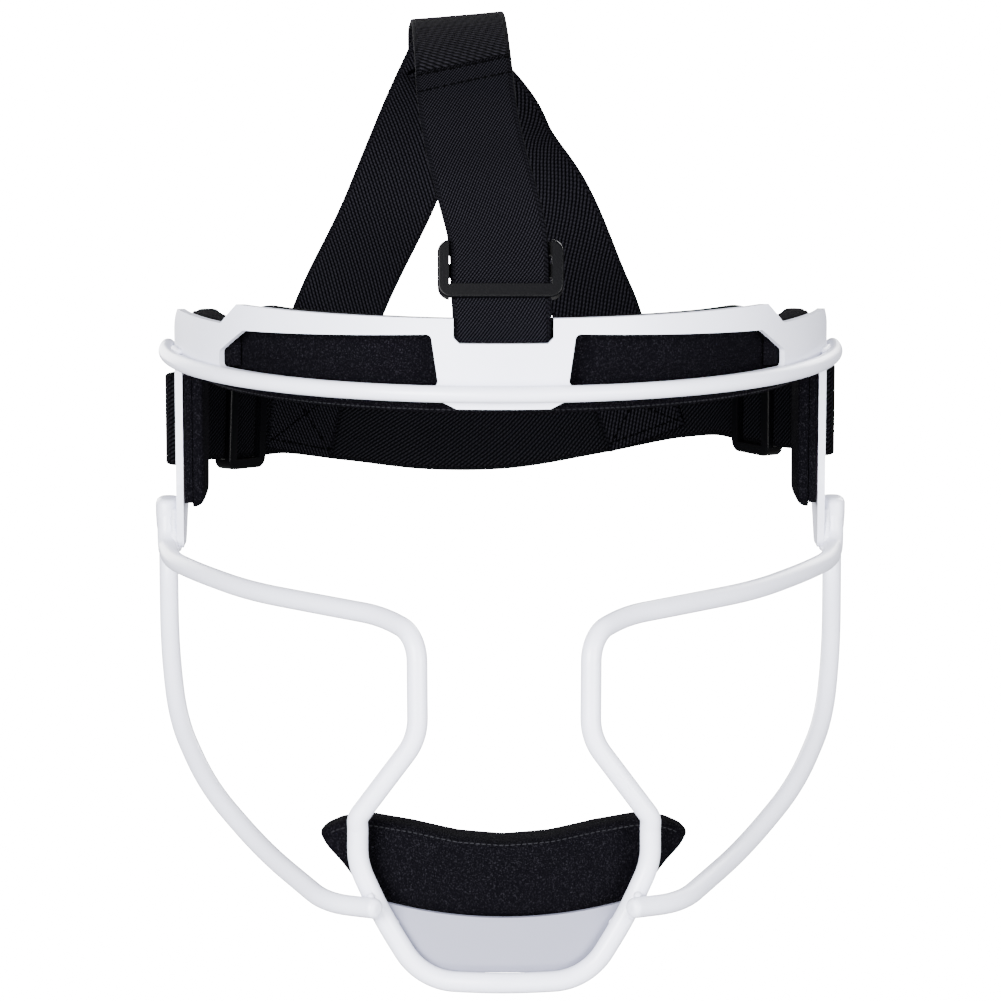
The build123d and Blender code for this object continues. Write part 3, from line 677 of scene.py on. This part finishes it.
templeLoop = {**webSizes, "step": 0.7 * mm, "ripple": 0.05 * mm, "restsOn": ["rear_strap"]}
loopPlan = [
    (88.3, 13.3),
    (88.9, 8.0),
    (90.2, 4.9),
    (93.5, 4.4),
    (94.7, 6.4),
    (94.3, 12.6),
    (92.6, 15.4),
    (87.4, 18.3),
    (83.9, 23.8),
]
for side, sign, drop in (("left", -1, 21.6), ("right", 1, 19.0)):
    stations = [((sign * x, y, -drop), (0, 0, 1)) for x, y in loopPlan]
    strapPiece(
        f"templeWebbing_{side}",
        [{"stations": stations, "finish": webbingRearPaintedShade, "seed": 13 + sign}],
        {**templeLoop, "nodes": [f"temple_loop_{side}"]},
    )
print("straps made")


# Stitches and weld beads: small forms set along lines by Geometry Nodes
def beadTree(name):
    tree = bpy.data.node_groups.new(name, "GeometryNodeTree")
    for label, kind, way in (
        ("Geometry", "NodeSocketGeometry", "INPUT"), ("Pitch", "NodeSocketFloat", "INPUT"),
        ("Length", "NodeSocketFloat", "INPUT"), ("Thickness", "NodeSocketFloat", "INPUT"),
        ("Height", "NodeSocketFloat", "INPUT"), ("Unevenness", "NodeSocketFloat", "INPUT"),
        ("Finish", "NodeSocketMaterial", "INPUT"), ("Geometry", "NodeSocketGeometry", "OUTPUT"),
    ):
        tree.interface.new_socket(label, in_out=way, socket_type=kind)
    given = tree.nodes.new("NodeGroupInput")
    result = tree.nodes.new("NodeGroupOutput")
    line = nodeAt(tree, "GeometryNodeMeshToCurve", {"Mesh": given.outputs["Geometry"]})
    spots = nodeAt(
        tree, "GeometryNodeCurveToPoints", {"Curve": line.outputs[0], "Length": given.outputs["Pitch"]}, mode="LENGTH"
    )
    aligned = nodeAt(tree, "FunctionNodeAlignRotationToVector", {"Vector": spots.outputs["Tangent"]}, axis="Z")
    bead = nodeAt(tree, "GeometryNodeMeshUVSphere", {"Segments": 10, "Rings": 6, "Radius": 0.5})
    spread = nodeAt(
        tree, "FunctionNodeRandomValue", {"Min": 1.0, "Max": given.outputs["Unevenness"], "Seed": 4}, data_type="FLOAT"
    )
    size = nodeAt(
        tree, "ShaderNodeCombineXYZ",
        {"X": given.outputs["Thickness"], "Y": given.outputs["Height"], "Z": given.outputs["Length"]},
    )
    scaled = nodeAt(tree, "ShaderNodeVectorMath", {0: size.outputs[0]}, operation="SCALE")
    tree.links.new([s for s in spread.outputs if s.enabled][0], scaled.inputs["Scale"])
    placed = nodeAt(
        tree, "GeometryNodeInstanceOnPoints",
        {
            "Points": spots.outputs["Points"], "Instance": bead.outputs["Mesh"],
            "Rotation": aligned.outputs[0], "Scale": scaled.outputs[0],
        },
    )
    real = nodeAt(tree, "GeometryNodeRealizeInstances", {0: placed.outputs[0]})
    smooth = nodeAt(tree, "GeometryNodeSetShadeSmooth", {"Geometry": real.outputs[0]})
    finished = nodeAt(
        tree, "GeometryNodeSetMaterial", {"Geometry": smooth.outputs[0], "Material": given.outputs["Finish"]}
    )
    tree.links.new(finished.outputs[0], result.inputs[0])
    return tree


lineBeads = beadTree("lineBeads")


def beadPiece(name, lines, finish, settings):
    # One piece of small forms along lines of points in metres
    points, edges = [], []
    for line in lines:
        first = len(points)
        points += line
        edges += [(first + i, first + i + 1) for i in range(len(line) - 1)]
    mesh = bpy.data.meshes.new(name)
    mesh.from_pydata(points, edges, [])
    base = bpy.data.objects.new(name, mesh)
    bpy.context.scene.collection.objects.link(base)
    modifier = base.modifiers.new("beads", "NODES")
    modifier.node_group = lineBeads
    sockets = {item.name: item.identifier for item in lineBeads.interface.items_tree if item.in_out == "INPUT"}
    for label, value in settings.items():
        modifier[sockets[label]] = value
    modifier[sockets["Finish"]] = finish
    shaped = bpy.data.meshes.new_from_object(base.evaluated_get(bpy.context.evaluated_depsgraph_get()))
    base.modifiers.remove(modifier)
    base.data = shaped
    shaped.name = name
    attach(base, "frame")
    print(name, len(shaped.polygons), "faces")
    return base


def webPoint(name, distance, across, lift):
    # Place over a strap's outer face, at a distance along its first ribbon and across it
    route, reach = strapRoutes[name]
    index = min(range(len(reach)), key=lambda i: abs(reach[i] - distance))
    point, cross, out = route[index]
    along = out.cross(cross)
    return point + along * (distance - reach[index]) + cross * across + out * lift


stitchSettings = {"Pitch": 2.1 * mm, "Length": 1.75 * mm, "Thickness": 0.55 * mm, "Height": 0.5 * mm, "Unevenness": 1.2}
stitchPlan = {
    "spans": 14,
    "lift": webSizes["thickness"] / 2 + 0.02 * mm,
    # Rows in mm: where each starts and ends along the strap, then across it
    "hemRows": [(-3.3, 0.9, -11.6, 11.6), (-9.1, -4.5, -11.8, 11.8)],
    "patchRows": [(2.5, 2.5, -11, 11), (21, 21, -11, 11), (2.5, 21, -11, 11), (2.5, 21, 11, -11)],
    "loopRows": [(-3, -3, -11, 11), (-6, -6, -11, 11)],
}


def stitchRow(name, base, row, settings):
    low, high, left, right = (value * mm for value in row)
    start, end = base + low, base + high
    line = []
    for i in range(settings["spans"] + 1):
        t = i / settings["spans"]
        line.append(webPoint(name, start + (end - start) * t, left + (right - left) * t, settings["lift"]))
    return line


sewn = []
for name, rows, fromEnd in (
    ("topStrapWebbing", "hemRows", True),
    ("crownWebbingLeft", "patchRows", False),
    ("crownWebbingRight", "patchRows", False),
    ("templeWebbing_left", "loopRows", True),
    ("templeWebbing_right", "loopRows", True),
):
    base = strapRoutes[name][1][-1] if fromEnd else 0.0
    for row in stitchPlan[rows]:
        sewn.append(stitchRow(name, base, row, stitchPlan))
beadPiece("strapStitches", sewn, threadBlack, stitchSettings)
print("stitches sewn")


# Pads and welds
browPlan = {"frontRadius": 88.0, "halfWidth": 92.2, "halfDepth": 101.6}


def browPlace(turn, growth):
    # Place on a parallel of the brow band, turn degrees round from straight ahead
    front, wide, deep = browPlan["frontRadius"], browPlan["halfWidth"], browPlan["halfDepth"]
    sideRadius = (wide**2 + deep**2 - 2 * deep * front) / (2 * (wide - front))
    shift = sideRadius - wide
    limit = 90 - math.degrees(math.atan2(deep - front, shift))
    swing = math.radians(turn)
    facing = Vector((math.sin(swing), -math.cos(swing), 0))
    if abs(turn) <= limit:
        return Vector((0, front - deep, 0)) + facing * (front + growth), facing
    return Vector((math.copysign(shift, -turn), 0, 0)) + facing * (sideRadius + growth), facing


def sectionRing(middle, outward, upward, halfOut, halfUp, settings):
    # Outline of a cut through a pad or weld; a roundness of 1 makes an ellipse, and 0 a rectangle
    ring = []
    for step in range(settings["around"]):
        turn = 2 * math.pi * step / settings["around"]
        a, b = math.cos(turn), math.sin(turn)
        a = math.copysign(abs(a) ** settings["roundness"], a)
        b = math.copysign(abs(b) ** settings["roundness"], b)
        ring.append(middle + outward * halfOut * a + upward * halfUp * b)
    return ring


def loftPiece(name, rings, finish, fanned):
    # Closed skin through rings of places in mm, with fans or plain faces at its ends
    form = bmesh.new()
    loops = [[form.verts.new(place * mm) for place in ring] for ring in rings]
    for near, far in zip(loops, loops[1:]):
        for i in range(len(near)):
            j = (i + 1) % len(near)
            form.faces.new((near[i], near[j], far[j], far[i]))
    if fanned:
        for loop in (loops[0], loops[-1]):
            middle = form.verts.new(sum((vert.co for vert in loop), Vector()) / len(loop))
            for i in range(len(loop)):
                form.faces.new((loop[i], loop[(i + 1) % len(loop)], middle))
    else:
        form.faces.new(loops[0])
        form.faces.new(loops[-1][::-1])
    bmesh.ops.recalc_face_normals(form, faces=form.faces)
    mesh = bpy.data.meshes.new(name)
    form.to_mesh(mesh)
    form.free()
    mesh.polygons.foreach_set("use_smooth", [True] * len(mesh.polygons))
    mesh.materials.append(finish)
    piece = bpy.data.objects.new(name, mesh)
    bpy.context.scene.collection.objects.link(piece)
    return piece


def loftPad(name, rings, settings):
    piece = loftPiece(name, rings, padKnit, fanned=True)
    swellPad(piece, settings)
    subdivide = piece.modifiers.new("smoothCloth", "SUBSURF")
    subdivide.levels = subdivide.render_levels = 1
    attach(piece, "frame")
    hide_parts(*settings["nodes"])
    return piece


coverCloth = {"quality": 5, "frames": 20}


def swellPad(piece, settings):
    # Air pressure rounds the cover out; each point may move only a little
    start = [vert.co.copy() for vert in piece.data.vertices]
    cloth = piece.modifiers.new("coverCloth", "CLOTH")
    cloth.settings.quality = coverCloth["quality"]
    cloth.settings.use_pressure = True
    cloth.settings.uniform_pressure_force = settings["pressure"]
    cloth.settings.effector_weights.gravity = 0
    cloth.point_cache.frame_start = 1
    cloth.point_cache.frame_end = coverCloth["frames"]
    scene = bpy.context.scene
    for step in range(1, coverCloth["frames"] + 1):
        scene.frame_set(step)
    swollen = piece.evaluated_get(bpy.context.evaluated_depsgraph_get()).data
    places = [vert.co.copy() for vert in swollen.vertices]
    piece.modifiers.remove(cloth)
    for vert, before, after in zip(piece.data.vertices, start, places):
        move = after - before
        if move.length > settings["cap"]:
            move *= settings["cap"] / move.length
        vert.co = before + move
    scene.frame_set(1)


def shrinkAtEnds(distance, rounding):
    # How much a section draws in near a rounded end
    if distance >= rounding:
        return 0.0
    return rounding - math.sqrt(max(rounding**2 - (rounding - distance) ** 2, 0.0))


foreheadPad = {
    "nodes": ["forehead_pad_cover", "forehead_pad_foam"],
    "fill": 0.8,
    "pressure": 2.0,
    "cap": 0.9 * mm,
    "face": -5.4,  # from the brow plan to the pad's outer face
    "thickness": 7.8,
    "top": 18.7,
    "bottom": -6.3,
    "end": 83.3,  # degrees round from straight ahead
    "degreeRun": 1.55,  # length of one degree near the ends
    "rearTop": 13.0,
    "dropStart": 53,  # degrees at which the upper edge starts to drop to rearTop
    "dropRun": 8,
    "rounding": 3.2,
    "drawOut": 0.8,  # how far the faces draw in at the ends, as a share of the edges
    "sections": 150,
    "around": 28,
    "roundness": 0.42,
}


def makeForeheadPad(settings):
    rings = []
    for step in range(settings["sections"] + 1):
        turn = settings["end"] * (2 * step / settings["sections"] - 1)
        middle, facing = browPlace(turn, settings["face"] - settings["thickness"] / 2)
        draw = shrinkAtEnds((settings["end"] - abs(turn)) * settings["degreeRun"], settings["rounding"])
        drop = min(max((abs(turn) - settings["dropStart"]) / settings["dropRun"], 0), 1)
        top = settings["top"] + (settings["rearTop"] - settings["top"]) * drop * drop * (3 - 2 * drop)
        middle.z = (top + settings["bottom"]) / 2
        halfOut = settings["thickness"] / 2 - draw * settings["drawOut"]
        halfUp = (top - settings["bottom"]) / 2 - draw
        rings.append(sectionRing(middle, facing, Vector((0, 0, 1)), halfOut, halfUp, settings))
    return loftPad("foreheadPad", rings, settings)


foreheadCover = makeForeheadPad(foreheadPad)

weldSettings = {"Pitch": 0.75 * mm, "Length": 2.0 * mm, "Thickness": 1.9 * mm, "Height": 1.9 * mm, "Unevenness": 1.25}
weldLines = [  # one side of the cage, in mm; the other is its mirror
    [(-92.8, -5.1, -46.6), (-92.8, -5.9, -52.0), (-92.7, -6.6, -56.2)],
    [(-92.8, 5.3, -46.6), (-92.8, 5.2, -52.0), (-92.7, 4.7, -56.2)],
    [(-96.9, 0.1, -46.6), (-96.9, -0.1, -53.0), (-96.8, -0.6, -58.0)],
    [(-34.6, -122.6, -128.6), (-34.2, -122.8, -131.0), (-33.4, -122.9, -133.6)],
    [(-31.6, -118.4, -132.0), (-28.4, -119.2, -136.6)],
    [(-92.2, -8.0, -56.9), (-91.9, -3.0, -57.2), (-92.0, 2.5, -57.0)],
]
browTacks = {  # short welds between the brow ring and the band, in degrees and mm
    "turns": (-78, 78),
    "points": 7,
    "spacing": 0.8,
    "growth": 0.5,
    "height": 1.9,
}


def weldPaths(lines, tacks):
    paths = []
    for side in (1, -1):
        for line in lines:
            paths.append([Vector((side * x, y, z)) * mm for x, y, z in line])
    for turn in tacks["turns"]:
        path = []
        for step in range(tacks["points"]):
            place, _ = browPlace(turn + (step - tacks["points"] // 2) * tacks["spacing"], tacks["growth"])
            path.append(Vector((place.x, place.y, tacks["height"])) * mm)
        paths.append(path)
    return paths


beadPiece("weldBeads", weldPaths(weldLines, browTacks), powderCoat, weldSettings)

weldCap = {
    "middle": (94.9, 0.1),
    # height, half width and half length of the run-out weld over the two bars' upper ends
    "rings": [
        (-43.0, 1.6, 3.6), (-43.15, 2.5, 4.8), (-43.6, 3.1, 5.5), (-44.4, 3.4, 5.8), (-47.5, 3.4, 5.8),
        (-51.0, 3.2, 5.4), (-54.5, 2.7, 4.6), (-58.0, 1.9, 3.4), (-60.0, 1.0, 2.0),
    ],
    "around": 40,
    "roundness": 0.75,
}


def weldCapPiece(side, sign, settings):
    x, y = settings["middle"]
    rings = []
    for height, halfOut, halfLong in settings["rings"]:
        place = Vector((sign * x, y, height))
        rings.append(sectionRing(place, Vector((1, 0, 0)), Vector((0, 1, 0)), halfOut, halfLong, settings))
    piece = loftPiece(f"weldCap_{side}", rings, powderCoat, fanned=False)
    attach(piece, "frame")


for side, sign in (("left", -1), ("right", 1)):
    weldCapPiece(side, sign, weldCap)

templePad = {
    "fill": 0.7,
    "pressure": 2.0,
    "cap": 0.6 * mm,
    "face": -4.75,
    "thickness": 3.9,
    "front": -10.5,
    "rear": 12.5,
    "top": 9.7,
    "bottom": -45.1,
    "rounding": 4.4,
    "drawOut": 0.36,
    "sections": 60,
    "around": 24,
    "roundness": 0.4,
}


def makeTemplePad(side, sign, settings):
    rings = []
    middle, facing = browPlace(sign * 90, settings["face"] - settings["thickness"] / 2)
    height = settings["top"] - settings["bottom"]
    for step in range(settings["sections"] + 1):
        share = step / settings["sections"]
        draw = shrinkAtEnds(min(share, 1 - share) * height, settings["rounding"])
        place = Vector((middle.x, (settings["front"] + settings["rear"]) / 2, settings["bottom"] + height * share))
        place += facing * draw * settings["drawOut"]
        halfOut = settings["thickness"] / 2 - draw * settings["drawOut"]
        halfLong = (settings["rear"] - settings["front"]) / 2 - draw
        rings.append(sectionRing(place, facing, Vector((0, 1, 0)), halfOut, halfLong, settings))
    settings = {**settings, "nodes": [f"temple_pad_cover_{side}", f"temple_pad_foam_{side}"]}
    loftPad(f"templePad_{side}", rings, settings)


for side, sign in (("left", -1), ("right", 1)):
    makeTemplePad(side, sign, templePad)

chinPad = {
    "nodes": ["chin_pad_cover", "chin_pad_foam"],
    "fill": 0.8,
    "pressure": 3.0,
    "cap": 1.5 * mm,
    "halfWidth": 48.2,
    "arcMiddle": -0.6,
    "arcRadius": 115.8,
    "rounding": 1.4,
    "drawUp": 0.7,  # how far the edges draw in at the ends, as a share of the faces
    "sections": 64,
    "around": 32,
    "roundness": 0.45,
    # share of the half width, top, bottom, depth
    "form": [
        (0.0, -115.3, -143.4, 18.6),
        (0.25, -114.5, -143.4, 18.0),
        (0.5, -112.3, -142.6, 16.2),
        (0.72, -111.0, -134.2, 13.4),
        (0.88, -112.2, -123.8, 10.5),
        (1.0, -114.9, -117.8, 6.5),
    ],
}


def alongTable(table, share):
    for low, high in zip(table, table[1:]):
        if share <= high[0]:
            t = (share - low[0]) / (high[0] - low[0])
            return [a + (b - a) * t for a, b in zip(low[1:], high[1:])]
    return table[-1][1:]


def makeChinPad(settings):
    rings = []
    for step in range(settings["sections"] + 1):
        share = 2 * step / settings["sections"] - 1
        x = share * settings["halfWidth"]
        top, bottom, depth = alongTable(settings["form"], abs(share))
        front = settings["arcMiddle"] - math.sqrt(settings["arcRadius"] ** 2 - x**2)
        draw = shrinkAtEnds((1 - abs(share)) * settings["halfWidth"], settings["rounding"])
        place = Vector((x, front + depth / 2, (top + bottom) / 2))
        halfUp = (top - bottom) / 2 - draw * settings["drawUp"]
        rings.append(sectionRing(place, Vector((0, -1, 0)), Vector((0, 0, 1)), depth / 2 - draw, halfUp, settings))
    return loftPad("chinPad", rings, settings)


chinCover = makeChinPad(chinPad)


def seamLine(cover, places, lift):
    # Points of a seam on a pad's own surface, from rays towards it
    bpy.context.view_layer.update()
    shaped = cover.evaluated_get(bpy.context.evaluated_depsgraph_get())
    line = []
    for start, heading in places:
        struck, spot, facing, _ = shaped.ray_cast(start, heading)
        if struck:
            line.append(spot + facing * lift)
    return line


seamSettings = {"Pitch": 1.5 * mm, "Length": 1.1 * mm, "Thickness": 0.34 * mm, "Height": 0.34 * mm, "Unevenness": 1.3}
seamPlan = {
    "lift": 0.05 * mm,
    "chinSpans": 60,
    "chinShare": 0.93,  # of the chin pad's half width
    "chinDrop": 1.7,  # below the pad's upper edge
    "chinAhead": -200,  # where the rays towards the pad start
    "browSpans": 120,
    "browEnd": 78,  # degrees round from straight ahead
    "browRise": 1.1,  # above the pad's lower edge
    "browAhead": 30,
}
chinSeam = []
for step in range(seamPlan["chinSpans"] + 1):
    share = (2 * step / seamPlan["chinSpans"] - 1) * seamPlan["chinShare"]
    top = alongTable(chinPad["form"], abs(share))[0]
    start = Vector((share * chinPad["halfWidth"], seamPlan["chinAhead"], top - seamPlan["chinDrop"])) * mm
    chinSeam.append((start, Vector((0, 1, 0))))
browSeam = []
for step in range(seamPlan["browSpans"] + 1):
    turn = (2 * step / seamPlan["browSpans"] - 1) * seamPlan["browEnd"]
    place, facing = browPlace(turn, seamPlan["browAhead"])
    browSeam.append((Vector((place.x, place.y, foreheadPad["bottom"] + seamPlan["browRise"])) * mm, -facing))
seams = [
    seamLine(chinCover, chinSeam, seamPlan["lift"]),
    seamLine(foreheadCover, browSeam, seamPlan["lift"]),
]
beadPiece("padSeams", seams, threadGrey, seamSettings)
print("pads and welds made")
